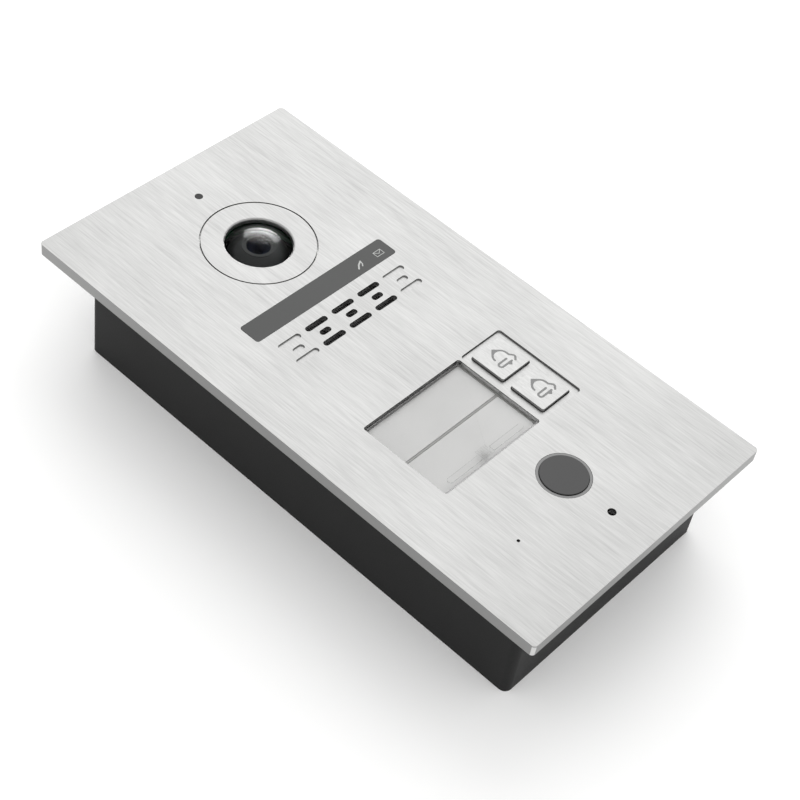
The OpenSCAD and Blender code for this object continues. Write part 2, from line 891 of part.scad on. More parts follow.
module name_window() {
    rib_w = 0.45;
    rib_pitch = 0.95;
    rib_h = 0.25;
    lid_top_z = lid_z + lid_t;
    color("white", 0.4) difference() {
        union() {
            slab(window_x, (lid_low_y + lid_high_y) / 2, lid_z, lid_w, lid_high_y - lid_low_y, lid_t,
                window_r - drop_gap);
            translate([window_x - lid_w / 2, lid_high_y - 2, lid_z]) cube([lid_w, 2, lid_t]);
            translate([window_x - barrel_w / 2, lid_high_y - eps, lid_z])
                cube([barrel_w, hinge_y - lid_high_y + eps, lid_t]);
            translate([window_x - barrel_w / 2, hinge_y, hinge_z])
                rotate([0, 90, 0]) cylinder(h = barrel_w, r = lid_t / 2);
            translate([window_x - lid_w / 2 - hinge_pin_l, hinge_y, hinge_z])
                rotate([0, 90, 0]) cylinder(h = lid_w + 2 * hinge_pin_l, r = hinge_r);
        }
        difference() {
            race(window_x, groove_y, lid_top_z - groove_depth, groove_w, groove_h, 2 * groove_depth);
            translate([window_x - grip_w / 2, groove_y - grip_h, lid_top_z - 2 * groove_depth])
                cube([grip_w, 2 * grip_h, 4 * groove_depth]);
        }
        for (i = [0:ribs])
            translate([window_x + (i - ribs / 2) * rib_pitch - rib_w / 2, groove_y - 1.6, lid_top_z - rib_h])
                cube([rib_w, grip_h, 2 * rib_h]);
    }
}

module card_tray() {
    color("white") union() {
        difference() {
            slab(tray_x, keys_y, flange_z, tray_w, tray_h, flange_t, 1);
            slab(window_x, keys_y, face_z - card_pocket, cards_w, cards_h, card_pocket + eps, 0.5);
        }
        translate([window_x - cards_w / 2, keys_y - divider_w / 2, face_z - card_pocket - eps])
            cube([cards_w, divider_w, card_t + eps]);
    }
}

module name_card(side) {
    color("whitesmoke") slab(window_x, keys_y + side * card_dy, face_z - card_pocket,
        card_w, card_h, card_t, 0.4);
}

module name_card_upper() {
    name_card(1);
}

module name_card_lower() {
    name_card(-1);
}

// ---- reader and microphone ----

module reader_ring() {
    inner_r = reader_cap_r + 0.1;
    color("gray") difference() {
        union() {
            disc(0, reader_y, flange_z, reader_flange_r, flange_t);
            disc(0, reader_y, flange_z, reader_ring_r, top_z - flange_z);
        }
        disc(0, reader_y, flange_z - eps, inner_r, top_z - flange_z + 2 * eps);
    }
}

module reader_cap() {
    color([0.3, 0.3, 0.3]) union() {
        disc(0, reader_y, flange_z - reader_lip_t, reader_cap_r,
            top_z + reader_rise - flange_z + reader_lip_t);
        disc(0, reader_y, flange_z - reader_lip_t, reader_lip_r, reader_lip_t);
    }
}

module reader_coil() {
    coil_in_r = 6;
    coil_h = 2;
    color("peru") difference() {
        disc(0, reader_y, board_top_z, reader_hole_r, coil_h);
        disc(0, reader_y, board_top_z - eps, coil_in_r, coil_h + 2 * eps);
    }
}

module mic_boot() {
    color("black") difference() {
        disc(mic_x, mic_y, board_top_z, mic_boot_r, board_drop);
        disc(mic_x, mic_y, board_top_z - eps, mic_capsule_r, mic_capsule_h + eps);
        disc(mic_x, mic_y, board_top_z, mic_hole_r, board_drop + eps);
    }
}

module mic_capsule() {
    color("silver") disc(mic_x, mic_y, board_top_z, mic_capsule_r, mic_capsule_h);
}

// ---- carrier, boards and tub ----

// Openings behind the plate's own, each grown by a wall where extra is given
module carrier_openings(z, h, extra) {
    corner = 1;
    grow = 2 * extra;
    keys_room = 2 * key_lip + 2 * lip_room;
    disc(0, camera_y, z, carrier_camera_r + extra, h);
    slab(0, strip_y, z, strip_l - 2 * strip_seat + grow, strip_h - 2 * strip_rest + grow, h, corner + extra);
    slab(window_x, keys_y, z, window_w - 2 * tray_seat + grow, window_h - 2 * tray_seat + grow,
        h, corner + extra);
    slab(keys_x, keys_y, z, key_w + keys_room + grow, key_pitch + key_h + keys_room + grow,
        h, corner + extra);
    disc(0, reader_y, z, reader_lip_r + lip_room + extra, h);
    disc(mic_x, mic_y, z, mic_boot_r + mic_boot_fit + extra, h);
}

module module_carrier() {
    wall = 1.2;
    color([0.15, 0.15, 0.15]) difference() {
        union() {
            slab(0, tub_cy, deck_z, stack_w, stack_l, deck_t, tub_r);
            intersection() {
                slab(0, tub_cy, board_top_z, stack_w, stack_l, deck_z - board_top_z, tub_r);
                union() {
                    carrier_openings(board_top_z, deck_z - board_top_z, wall);
                    at_studs() disc(0, 0, board_top_z, stud_pad_r, deck_z - board_top_z);
                }
            }
            at_studs() disc(0, 0, flange_z - eps, stud_pad_r - 1, flange_t + eps);
        }
        carrier_openings(board_top_z - eps, flange_z - board_top_z + 2 * eps, 0);
        slab(0, slots_y, deck_z - eps, mesh_w - 2 * gasket_wall, mesh_h - 2 * gasket_wall,
            deck_t + 2 * eps, 1.5);
        race(0, slots_y, board_top_z - eps, speaker_w + 2 * speaker_fit, speaker_h + 2 * speaker_fit,
            deck_z - board_top_z + eps);
        at_studs() disc(0, 0, board_top_z - eps, stud_r + screw_gap, board_drop + 2 * eps);
    }
}

module front_board() {
    color("darkgreen") difference() {
        slab(0, tub_cy, board_z, stack_w, stack_l, pcb_t, tub_r);
        disc(0, camera_y, board_z - eps, board_camera_r, pcb_t + 2 * eps);
        race(0, slots_y, board_z - eps, speaker_w + 4 * speaker_fit, speaker_h + 4 * speaker_fit,
            pcb_t + 2 * eps);
        at_studs() disc(0, 0, board_z - eps, stud_r + screw_gap, pcb_t + 2 * eps);
    }
}

module main_board() {
    color("green") difference() {
        slab(0, tub_cy, main_z, board_w, board_l, pcb_t, 1.5);
        for (p = posts)
            disc(p[0], p[1], main_z - eps, post_hole_r + screw_gap, pcb_t + 2 * eps);
        disc(tamper_x, tamper_y, main_z - eps, plunger_r + 0.5, pcb_t + 2 * eps);
    }
}

module board_screws() {
    head_r = 2.2;
    head_h = 1.6;
    reach = 3.2;
    color("silver") for (p = posts) {
        disc(p[0], p[1], main_top_z, head_r, head_h);
        disc(p[0], p[1], main_top_z - reach, post_hole_r, reach + eps);
    }
}

module main_chips() {
    chips = [[0, -18, 14, 14], [-20, 10, 10, 8], [18, -75, 9, 6]];
    chip_t = 1.3;
    color([0.1, 0.1, 0.1]) for (c = chips)
        slab(c[0], c[1], main_top_z, c[2], c[3], chip_t, 0.3);
}

module capacitors() {
    cans = [[25, -38, 4, 11], [14, -46, 4, 11], [26, -52, 3, 8]];
    color("midnightblue") for (c = cans)
        disc(c[0], c[1], main_top_z, c[2], c[3]);
}

module lock_relay() {
    relay_size = [19, 15, 15];
    relay_place = [-22, -66];
    color("royalblue") slab(relay_place[0], relay_place[1], main_top_z,
        relay_size[0], relay_size[1], relay_size[2], 0.8);
}

module terminal_block() {
    wire_r = 1.3;
    screw_hole_r = 1.5;
    z = main_z - terminal_h;
    color("seagreen") difference() {
        translate([-terminal_w / 2, terminal_y - terminal_d / 2, z])
            cube([terminal_w, terminal_d, terminal_h]);
        for (i = [0:ways - 1])
            translate([(i - (ways - 1) / 2) * terminal_pitch, terminal_y, z]) {
                translate([0, 0, -eps]) cylinder(h = 3, r = screw_hole_r);
                translate([0, -terminal_d / 2 - eps, 5]) rotate([-90, 0, 0]) cylinder(h = 6, r = wire_r);
            }
    }
}

module terminal_screws() {
    screw_r_small = 1.5;
    color("silver") for (i = [0:ways - 1])
        translate([(i - (ways - 1) / 2) * terminal_pitch, terminal_y, main_z - terminal_h + 0.6])
            difference() {
                cylinder(h = 2, r = screw_r_small);
                translate([-2, -0.25, -eps]) cube([4, 0.5, 0.7]);
            }
}

module ribbon_connector() {
    plug_w = 22;
    plug_d = 5;
    plug_h = 4;
    color("beige") union() {
        slab(0, ribbon_y, main_top_z, plug_w, plug_d, plug_h, 0.4);
        slab(0, ribbon_y, board_z - plug_h, plug_w, plug_d, plug_h, 0.4);
        translate([-plug_w / 2 + 1, ribbon_y - 0.4, main_top_z + plug_h - eps])
            cube([plug_w - 2, 0.8, board_z - main_top_z - 2 * plug_h + 2 * eps]);
    }
}

module inner_tub() {
    wall_top_z = face_z - seal_t;
    terminal_gap = 1;
    color([0.2, 0.2, 0.2]) difference() {
        union() {
            difference() {
                slab(0, tub_cy, tub_z, tub_w, tub_l, wall_top_z - tub_z, tub_r);
                slab(0, tub_cy, tub_floor_z, tub_w - 2 * tub_wall, tub_l - 2 * tub_wall,
                    wall_top_z - tub_z, tub_r - tub_wall + 0.5);
            }
            at_studs() disc(0, 0, tub_z, stud_pad_r, board_z - tub_z);
            for (p = posts)
                disc(p[0], p[1], tub_z, post_r, main_z - tub_z);
        }
        at_studs() disc(0, 0, tub_z - eps, stud_r + screw_gap, board_z - tub_z + 2 * eps);
        for (p = posts)
            disc(p[0], p[1], main_z - 2.2, post_hole_r, 2.2 + eps);
        slab(0, terminal_y, tub_z - eps, terminal_w + 2 * terminal_gap, terminal_d + 2 * terminal_gap,
            tub_wall + 2 * eps, 0.5);
        disc(tamper_x, tamper_y, tub_z - eps, plunger_r + run_gap, tub_wall + 2 * eps);
    }
}

module tub_seal() {
    color("black") difference() {
        slab(0, tub_cy, face_z - seal_t, tub_w, tub_l, seal_t, tub_r);
        slab(0, tub_cy, face_z - seal_t - eps, tub_w - 2 * tub_wall, tub_l - 2 * tub_wall,
            seal_t + 2 * eps, tub_r - tub_wall + 0.5);
    }
}

module tamper_switch() {
    color([0.1, 0.1, 0.1]) difference() {
        slab(tamper_x, tamper_y, main_top_z, 12, 8, switch_h, 0.5);
        disc(tamper_x, tamper_y, main_top_z - eps, plunger_r + 0.3, switch_h - switch_roof + eps);
    }
}

module tamper_plunger() {
    reach = switch_h - switch_roof - plunger_travel - plunger_room;
    collar_t = 0.9;
    color("crimson") union() {
        disc(tamper_x, tamper_y, box_wall + stop_h, plunger_r, main_top_z + reach - box_wall - stop_h);
        disc(tamper_x, tamper_y, tub_floor_z + collar_gap, collar_r, collar_t);
    }
}

module flush_box() {
    fixing_h = box_wall + 2 * eps;
    slot_h_z = hook_t + 2 * hook_slot_play;
    screw_depth = 15.6;
    color([0.16, 0.16, 0.16]) difference() {
        union() {
            difference() {
                slab(0, box_shift, 0, box_w, box_l, box_d, box_r);
                slab(0, box_shift, box_wall, in_w, box_l - 2 * box_wall, box_d, box_r - box_wall + 0.2);
            }
            disc(0, screw_y, box_wall - eps, boss_r, boss_z - box_wall + eps);
            disc(tamper_x, tamper_y, box_wall - eps, stud_pad_r, stop_h + eps);
        }
        disc(0, screw_y, boss_z - screw_depth, screw_r, screw_depth + eps);
        for (x = [-1, 1], y = [-1, 1])
            disc(x * fixing_x / 2, box_shift + y * fixing_y / 2, -eps, fixing_r, fixing_h);
        disc(0, grommet_y, -eps, grommet_r, fixing_h);
        translate([-hook_w / 2 - 1, in_y1 - eps, flange_z - hook_drop - hook_slot_play])
            cube([hook_w + 2, box_wall + 2 * eps, slot_h_z]);
        for (s = [-1, 1])
            difference() {
                disc(s * knockout_dx, knockout_y, box_wall - knockout_depth, knockout_r,
                    knockout_depth + eps);
                disc(s * knockout_dx, knockout_y, box_wall - knockout_depth - eps, knockout_r - 1,
                    knockout_depth + 3 * eps);
            }
    }
}

module cable_grommet() {
    color("black") difference() {
        union() {
            disc(0, grommet_y, 0, grommet_r, box_wall + eps);
            disc(0, grommet_y, box_wall, grommet_flange_r, grommet_flange_t);
        }
        disc(0, grommet_y, -eps, cable_r, box_wall + grommet_flange_t + 2 * eps);
    }
}

front_plate();
plate_studs();
stud_nuts();
plate_gasket();
hook_bracket();
hook_rivet();
screw_clip();
security_screw();
camera_bezel();
dome_cover();
dome_seal();
camera_socket();
tilt_ring();
tilt_pins();
camera_eye();
pan_pins();
lens_barrel();
front_lens();
sensor_board();
indicator_window();
indicator_icons();
light_guide();
board_leds();
speaker_mesh();
speaker_gasket();
speaker_frame();
speaker_cone();
speaker_magnet();
button_frame();
call_button_upper();
call_button_lower();
bell_icon_upper();
bell_icon_lower();
return_dome_upper();
return_dome_lower();
name_window();
card_tray();
name_card_upper();
name_card_lower();
reader_ring();
reader_cap();
reader_coil();
mic_boot();
mic_capsule();
module_carrier();
front_board();
main_board();
board_screws();
main_chips();
capacitors();
lock_relay();
terminal_block();
terminal_screws();
ribbon_connector();
inner_tub();
tub_seal();
tamper_switch();
tamper_plunger();
flush_box();
cable_grommet();
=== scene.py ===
# %% [markdown]
# # A door intercom panel
#
# This lesson dresses a door station: a brushed steel plate with a domed camera, a speaker grille, a
# name window, two call buttons and a card reader, on a black wall box. The hard parts come in as a
# fixed frame in metres, and every piece made here takes its place and size from that frame.

# %% Load the parts
import json
import math

import bpy
from mathutils import Matrix, Vector


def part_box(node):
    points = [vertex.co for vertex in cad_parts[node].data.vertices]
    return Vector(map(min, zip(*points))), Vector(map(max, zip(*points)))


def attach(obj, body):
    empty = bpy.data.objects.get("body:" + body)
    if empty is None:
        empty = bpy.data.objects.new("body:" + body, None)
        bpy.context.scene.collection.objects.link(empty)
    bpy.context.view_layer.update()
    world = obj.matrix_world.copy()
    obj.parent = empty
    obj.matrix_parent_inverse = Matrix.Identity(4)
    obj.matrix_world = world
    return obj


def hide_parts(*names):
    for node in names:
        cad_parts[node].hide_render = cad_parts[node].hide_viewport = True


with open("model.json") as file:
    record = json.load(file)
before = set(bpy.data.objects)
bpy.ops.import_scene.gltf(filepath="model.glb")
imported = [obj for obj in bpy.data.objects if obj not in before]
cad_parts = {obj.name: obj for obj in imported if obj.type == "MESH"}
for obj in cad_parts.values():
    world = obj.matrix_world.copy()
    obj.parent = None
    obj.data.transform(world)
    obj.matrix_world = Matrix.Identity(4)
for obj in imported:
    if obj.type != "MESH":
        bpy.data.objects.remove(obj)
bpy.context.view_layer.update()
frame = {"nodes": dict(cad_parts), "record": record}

nodes = frame["nodes"]
record = frame["record"]
body_of = {n: body for body, names in record["behaviour"]["bodies"].items() for n in names}
slot_of = {part["node"]: part["material_slot"] for part in record["subparts"]}

# %% [markdown]
# ## The camera
#
# The panel lies on its back and is seen from above its lower left corner, with a long lens, so that
# its long edges nearly stay parallel. A camera can be placed by hand, but a point to look at, a
# distance, two angles and a small roll say the same thing in numbers that can be read and changed.

# %% Place the camera
MM = 0.001
plate_low, plate_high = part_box("front_plate")
PLATE_TOP = plate_high.z


def look_from(aim, distance, azimuth, elevation, roll):
    """Turns three angles in degrees into a camera's place and turn."""
    a, e = math.radians(azimuth), math.radians(elevation)
    back = Vector((math.sin(a) * math.cos(e), -math.cos(a) * math.cos(e), math.sin(e)))
    turn = (-back).to_track_quat("-Z", "Y").to_matrix().to_4x4()
    lean = Matrix.Rotation(math.radians(roll), 4, "Z")
    return Matrix.Translation(aim + back * distance) @ turn @ lean


camera_data = bpy.data.cameras.new("product_camera")
camera_data.lens = 82.78
camera_data.sensor_width = 36
camera_data.clip_start = 0.01
camera = bpy.data.objects.new("product_camera", camera_data)
bpy.context.scene.collection.objects.link(camera)
aim_point = Vector((-17.04 * MM, -19.31 * MM, PLATE_TOP))
camera.matrix_world = look_from(aim_point, 619.64 * MM, -54.986, 47.459, 10.591)
bpy.context.scene.camera = camera
print("camera at", [round(x, 4) for x in camera.matrix_world.translation])

# %% [markdown]
# ## Floor and light
#
# The panel lies on a pale table under large soft lights. An even pale surround gives the metal
# something to reflect and leaves only soft shadows. A round softbox beyond the camera end lights
# the brushed plate from the far side. The other two lights are much stronger and are kept for the
# dome alone, near the end of this lesson, where they are the highlights in it.

# %% Set the surround
scene = bpy.context.scene
scene.view_settings.view_transform = "Standard"
surround = bpy.data.worlds.new("studio")
scene.world = surround
surround.use_nodes = True
surround.node_tree.nodes["Background"].inputs["Color"].default_value = (1.0, 1.0, 0.995, 1)
surround.node_tree.nodes["Background"].inputs["Strength"].default_value = 1.03
print("surround ready")


# %% Hang the lights
def hang_light(name, shape, size, power, azimuth, elevation):
    """An area light a metre off that looks at the middle of the plate."""
    data = bpy.data.lights.new(name, "AREA")
    data.shape = shape
    data.size = size
    data.energy = power
    light = bpy.data.objects.new(name, data)
    scene.collection.objects.link(light)
    light.matrix_world = look_from(Vector((0, 0, PLATE_TOP)), 1.0, azimuth, elevation, 0)
    print(name, "at", [round(x, 2) for x in light.matrix_world.translation])
    return light


hang_light("far_softbox", "DISK", 1.1, 3.9, 125, 40)
dome_light = hang_light("dome_softbox", "DISK", 0.95, 50, 131, 28)
side_light = hang_light("dome_strip", "SQUARE", 0.3, 8, -100, 40)

# %% [markdown]
# ## Shader maths in plain Python
#
# Each finish below is a small recipe of noises and masks. Wiring those by hand takes a page of
# clicks, so one class wraps a socket and gives it the signs of arithmetic: adding two wires adds a
# Math node. A second class is the finish itself: it keeps the node tree, and one method makes every
# other kind of node.


# %% A wire that can be added and multiplied
class Wire:
    """The output of a node, with arithmetic that adds Math nodes."""

    def __init__(self, finish, socket):
        self.finish = finish
        self.socket = socket

    def math(self, operation, first, second):
        return self.finish.node("ShaderNodeMath", {"operation": operation}, {0: first, 1: second})

    def __add__(self, other):
        return self.math("ADD", self, other)

    def __sub__(self, other):
        return self.math("SUBTRACT", self, other)

    def __rsub__(self, other):
        return self.math("SUBTRACT", other, self)

    def __mul__(self, other):
        return self.math("MULTIPLY", self, other)

    def __pow__(self, other):
        return self.math("POWER", self, other)


print("wires can be added, taken away, multiplied and raised to a power")


# %% A finish and the recipes that every finish shares
class Finish:
    """A material with one Principled shader, and the nodes that feed it."""

    def __init__(self, name, color, roughness, **settings):
        self.material = bpy.data.materials.new(name)
        self.material.use_nodes = True
        self.tree = self.material.node_tree
        self.shader = self.tree.nodes["Principled BSDF"]
        self.output = self.tree.nodes["Material Output"]
        self.set("Base Color", color)
        self.set("Roughness", roughness)
        for socket, value in settings.items():
            self.set(socket.replace("_", " "), value)
        self.place = self.node("ShaderNodeTexCoord", output="Object")

    def feed(self, socket, value):
        """Joins a wire to a socket, or sets a number or colour on the socket itself."""
        if isinstance(value, Wire):
            self.tree.links.new(value.socket, socket)
        elif isinstance(value, tuple) and len(value) == 3 and socket.type == "RGBA":
            socket.default_value = (*value, 1)
        else:
            socket.default_value = value

    def set(self, socket, value):
        self.feed(self.shader.inputs[socket], value)

    def node(self, kind, settings=None, values=None, output=0):
        """Makes a node: its settings first, then what goes into its sockets."""
        made = self.tree.nodes.new(kind)
        for name, value in (settings or {}).items():
            if name == "stops":
                while len(made.color_ramp.elements) < len(value):
                    made.color_ramp.elements.new(1)
                for stop, (at, shade) in zip(made.color_ramp.elements, value):
                    stop.position = at
                    stop.color = (shade, shade, shade, 1)
            else:
                setattr(made, name, value)
        for socket, value in (values or {}).items():
            self.feed(made.inputs[socket], value)
        return Wire(self, made.outputs[output])

    def stretched(self, x, y, z):
        """Object coordinates times a scale for each axis: a small number makes long features."""
        return self.node("ShaderNodeMapping", {"vector_type": "POINT"},
            {"Vector": self.place, "Scale": (x, y, z)})

    def noise(self, size, detail=2.0, vector=None):
        """A soft noise whose blotches are about size metres across."""
        scale = 1 if vector is not None else 1 / size
        return self.node("ShaderNodeTexNoise", None,
            {"Vector": vector if vector is not None else self.place, "Scale": scale, "Detail": detail}, "Fac")

    def across(self, axis, middle=(0, 0, 0)):
        """The distance from a middle along one axis."""
        moved = self.node("ShaderNodeMapping", None,
            {"Vector": self.place, "Location": tuple(-m for m in middle)})
        apart = self.node("ShaderNodeSeparateXYZ", None, {0: moved}, axis)
        return self.node("ShaderNodeMath", {"operation": "ABSOLUTE"}, {0: apart})

    def beyond(self, value, limit):
        """One where a value is over a limit, else nothing."""
        return self.node("ShaderNodeMath", {"operation": "GREATER_THAN"}, {0: value, 1: limit})

    def either(self, first, second):
        return self.node("ShaderNodeMath", {"operation": "MAXIMUM"}, {0: first, 1: second})

    def ramp(self, value, *stops):
        return self.node("ShaderNodeValToRGB", {"stops": stops}, {"Fac": value}, "Color")

    def blend(self, share, first, second):
        """A colour between first and second."""
        return self.node("ShaderNodeMix", {"data_type": "RGBA"}, {0: share, 6: first, 7: second}, 2)

    def bump(self, height, depth, strength=1.0):
        """Raises the surface by up to depth metres."""
        self.set("Normal", self.node("ShaderNodeBump", None,
            {"Height": height, "Distance": depth, "Strength": strength}, "Normal"))


def shade(color, factor):
    return tuple(min(1.0, c * factor) for c in color)


finishes = {}
print("finish tools ready")

# %% [markdown]
# ## Brushed steel
#
# The plate is brushed along its length with an abrasive belt. The marks are scratches a tenth of a
# millimetre wide and some centimetres long, each a little lighter or duller than the next. A
# picture of brushing could be laid on it, but noise that is squeezed across the plate and drawn out
# along it gives the same marks at every scale and on every cut edge.


# %% Make the brushed and plated metals
def brushed(name, color, roughness, depth, along=(1, 0.035, 1)):
    """Metal with fine, middling and broad streaks along one axis."""
    metal = Finish(name, color, roughness, Metallic=1.0)
    fine = metal.noise(1, 2, metal.stretched(*(3400 * a for a in along)))
    middling = metal.noise(1, 2, metal.stretched(*(1500 * a for a in along)))
    broad = metal.noise(1, 1, metal.stretched(*(300 * a for a in along)))
    cloud = metal.noise(0.035, 2)
    streaks = fine * 0.45 + middling * 0.4 + broad * 0.15
    light = metal.ramp(streaks * 0.85 + cloud * 0.15, (0.34, 0.0), (0.66, 1.0))
    face = metal.blend(light, shade(color, 0.8), shade(color, 1.19))
    metal.set("Base Color", face)
    metal.set("Roughness", streaks * 0.28 + (roughness - 0.14))
    metal.bump(streaks, depth, 0.35)
    return metal, face


def paint_wall_light_and_shade(metal, face, color):
    """Painted light and shade: the walls inside the plate's openings are painted brighter, and the outer edge
    is painted darker.
    """
    outside = metal.either(metal.beyond(metal.across("X"), plate_high.x - 0.05 * MM),
        metal.beyond(metal.across("Y"), plate_high.y - 0.05 * MM))
    raised = metal.beyond(metal.across("Z"), PLATE_TOP - 0.66 * MM)
    # Painted light: walls more than 0.66 mm below the top, in the openings and the bezel's bore, are painted
    # 1.8 times brighter.
    painted_wall_light = metal.blend(metal.either(raised, outside), shade(color, 1.8), face)
    # Painted shade: the plate's outer edge is painted 0.78 times the steel colour.
    metal.set("Base Color", metal.blend(outside, painted_wall_light, shade(color, 0.78)))


def plated(name, color, roughness):
    """Sheet or turned metal with a dull zinc coat."""
    metal = Finish(name, color, roughness, Metallic=1.0)
    grain = metal.noise(0.0012, 4)
    smear = metal.noise(0.008, 2)
    metal.set("Base Color", metal.blend(smear, shade(color, 0.85), shade(color, 1.1)))
    metal.set("Roughness", grain * 0.12 + smear * 0.16 + (roughness - 0.14))
    metal.bump(grain, 0.00002, 0.3)
    return metal.material


STEEL = (0.352, 0.352, 0.349)
steel, steel_face = brushed("brushed_steel", STEEL, 0.34, 0.00001)
paint_wall_light_and_shade(steel, steel_face, STEEL)
finishes["brushed_plate"] = steel.material
silver, _ = brushed("button_silver", (0.41, 0.41, 0.407), 0.42, 0.000006, (0.7, 0.1, 0.7))
finishes["key_silver"] = silver.material
finishes["bare_steel"] = plated("zinc_plated_steel", (0.62, 0.62, 0.63), 0.36)
finishes["speaker_mesh"] = plated("black_wire_mesh", (0.13, 0.13, 0.13), 0.45)
print(len(finishes), "metals")

# %% [markdown]
# ## Moulded plastics, paint and rubber
#
# A moulded part takes the fine spark-eroded texture of its mould, with slow changes of gloss where
# the plastic flowed. The recipe is shared, and each finish gives its colour, its gloss, how large
# the texture's bumps are and how deep they go. Rubber is the same with softer, larger bumps.


# %% Make the plastics
def moulded(name, color, roughness, grain, depth, painted_shade_below=None):
    """Plastic with a moulded texture, and painted shade, nearly black, below a height where one is given."""
    plastic = Finish(name, color, roughness)
    texture = plastic.noise(grain, 3)
    flow = plastic.noise(0.03, 2)
    tone = plastic.blend(flow, shade(color, 0.88), shade(color, 1.12))
    if painted_shade_below:
        # Painted shade: below the given height the colour is nearly black.
        tone = plastic.blend(plastic.beyond(plastic.across("Z"), painted_shade_below), shade(color, 0.05), tone)
    plastic.set("Base Color", tone)
    plastic.set("Roughness", texture * 0.14 + flow * 0.12 + (roughness - 0.13))
    plastic.bump(texture, depth, 0.5)
    return plastic.material


plastics = {
    "box_black": ("box_plastic", (0.005, 0.005, 0.0051), 0.55, 0.0005, 0.00002, 0.22),
    "inner_black": ("carrier_plastic", (0.03, 0.03, 0.03), 0.5, 0.0004, 0.00002),
    "eye_black": ("anti_glare_black", (0.012, 0.012, 0.012), 0.42, 0.0003, 0.00001),
    "black_rivet": ("black_paint", (0.012, 0.012, 0.012), 0.4, 0.0003, 0.00001, 0.3),
    "seal_rubber": ("black_rubber", (0.02, 0.02, 0.02), 0.75, 0.0009, 0.00003),
    "smoked_window": ("smoked_plastic", (0.028, 0.029, 0.028), 0.42, 0.0003, 0.000004),
    "icon_white": ("white_ink", (0.42, 0.43, 0.42), 0.6, 0.0002, 0.000004),
    "led_lens": ("led_resin", (0.9, 0.84, 0.55), 0.2, 0.0006, 0.000004),
    "speaker_paper": ("coated_paper", (0.035, 0.033, 0.032), 0.8, 0.0006, 0.00004),
    "bell_grey": ("grey_ink", (0.2, 0.2, 0.2), 0.55, 0.0002, 0.000006),
    "silicone": ("silicone_rubber", (0.62, 0.62, 0.6), 0.5, 0.0008, 0.00001),
    "tray_white": ("milky_plastic", (0.33, 0.33, 0.322), 0.4, 0.0005, 0.00001),
    "card_paper": ("name_card", (0.66, 0.66, 0.655), 0.7, 0.0003, 0.00001),
    "reader_grey": ("reader_ring_plastic", (0.2, 0.2, 0.2), 0.4, 0.0003, 0.000008),
    "reader_dark": ("reader_disc_plastic", (0.031, 0.031, 0.0315), 0.48, 0.00035, 0.00001),
    "chip_black": ("chip_resin", (0.022, 0.022, 0.023), 0.55, 0.0002, 0.00001),
    "capacitor_sleeve": ("sleeve_plastic", (0.02, 0.028, 0.09), 0.25, 0.0012, 0.00001),
    "relay_blue": ("relay_case", (0.03, 0.1, 0.4), 0.3, 0.0005, 0.00001),
    "terminal_green": ("terminal_nylon", (0.04, 0.27, 0.1), 0.45, 0.0005, 0.00002),
    "ribbon_grey": ("ribbon_sleeve", (0.42, 0.41, 0.38), 0.5, 0.0008, 0.00001),
    "plunger_red": ("acetal_red", (0.5, 0.025, 0.02), 0.35, 0.0006, 0.000008),
}
for slot, recipe in plastics.items():
    name, color, roughness, grain, depth, *gloss = recipe
    # The reader disc's side wall, lower than 0.3 mm under its top, gets painted shade.
    shadow_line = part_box("reader_cap")[1].z - 0.3 * MM if slot == "reader_dark" else None
    finishes[slot] = moulded(name, color, roughness, grain, depth, shadow_line)
    for level in gloss:
        shader = finishes[slot].node_tree.nodes["Principled BSDF"]
        shader.inputs["Specular IOR Level"].default_value = level
print(len(plastics), "plastics, inks and rubbers")

# %% [markdown]
# ## Clear pieces
#
# The dome, the lens and the name window are clear. True refraction is slow and turns the pieces
# behind them dark, because light can't find its way in through two bent surfaces. Here a clear
# surface is mostly see-through and only its gloss is added, more at a glancing angle, which is how
# a thin clear wall looks. The name window's glancing edges and a band along its border are also
# painted darker, as painted shade.


# %% Make the clear materials
def clear(name, tint, gloss, floor, rim, power, core, edge, edge_of=None):
    """See-through, with a mirror gloss that grows towards the rim, its colour going from core to edge as it
    turns away. Where a piece is given, a band along its edges gets more gloss and the edge colour, which is
    painted shade when that colour is dark.
    """
    glass = Finish(name, (0.95, 0.96, 0.96), gloss, Metallic=1.0)
    facing = glass.node("ShaderNodeLayerWeight", None, {"Blend": 0.5}, "Facing")
    turned_away = glass.ramp(facing, (0.3, 0.0), (1.0, 1.0)) ** power
    mirror = turned_away * rim + floor
    if edge_of:
        low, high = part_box(edge_of)
        middle, half = (low + high) / 2, (high - low) / 2
        # Painted shade: a band about a millimetre wide along the piece's edges takes half mirror and the edge
        # colour, which is dark for the name window.
        painted_border_shade = glass.either(glass.beyond(glass.across("X", middle), half.x - 0.95 * MM),
            glass.beyond(glass.across("Y", middle), half.y - 0.8 * MM))
        mirror = glass.either(mirror, painted_border_shade * 0.5)
        turned_away = glass.either(turned_away, painted_border_shade)
    glass.set("Base Color", glass.blend(turned_away, (core, core, core), (edge, edge, edge)))
    through = glass.node("ShaderNodeBsdfTransparent", None, {"Color": tint}, "BSDF")
    mixed = glass.node("ShaderNodeMixShader", None, {0: mirror, 1: through,
        2: Wire(glass, glass.shader.outputs["BSDF"])}, "Shader")
    glass.set("Roughness", glass.noise(0.006, 3) * 0.03 + gloss)
    glass.tree.links.new(mixed.socket, glass.output.inputs["Surface"])
    return glass.material


finishes["clear_dome"] = clear("dome_acrylic", (0.9, 0.91, 0.91), 0.078, 0.06, 0.6, 2, 0.04, 0.8)
finishes["lens_glass"] = clear("coated_lens", (0.55, 0.6, 0.75), 0.078, 0.06, 0.5, 3, 0.08, 0.5)
# The name window's edge colour is dark, so its glancing edges and its border band are painted shade at the
# seam.
finishes["clear_window"] = clear("window_acrylic", (0.985, 0.985, 0.985), 0.08, 0.0, 1.0, 1, 0.9,
    0.2, "name_window")
finishes["light_guide"] = clear("light_pipe", (0.8, 0.82, 0.84), 0.1, 0.3, 0.6, 3, 0.95, 0.95)
print("4 clear materials")
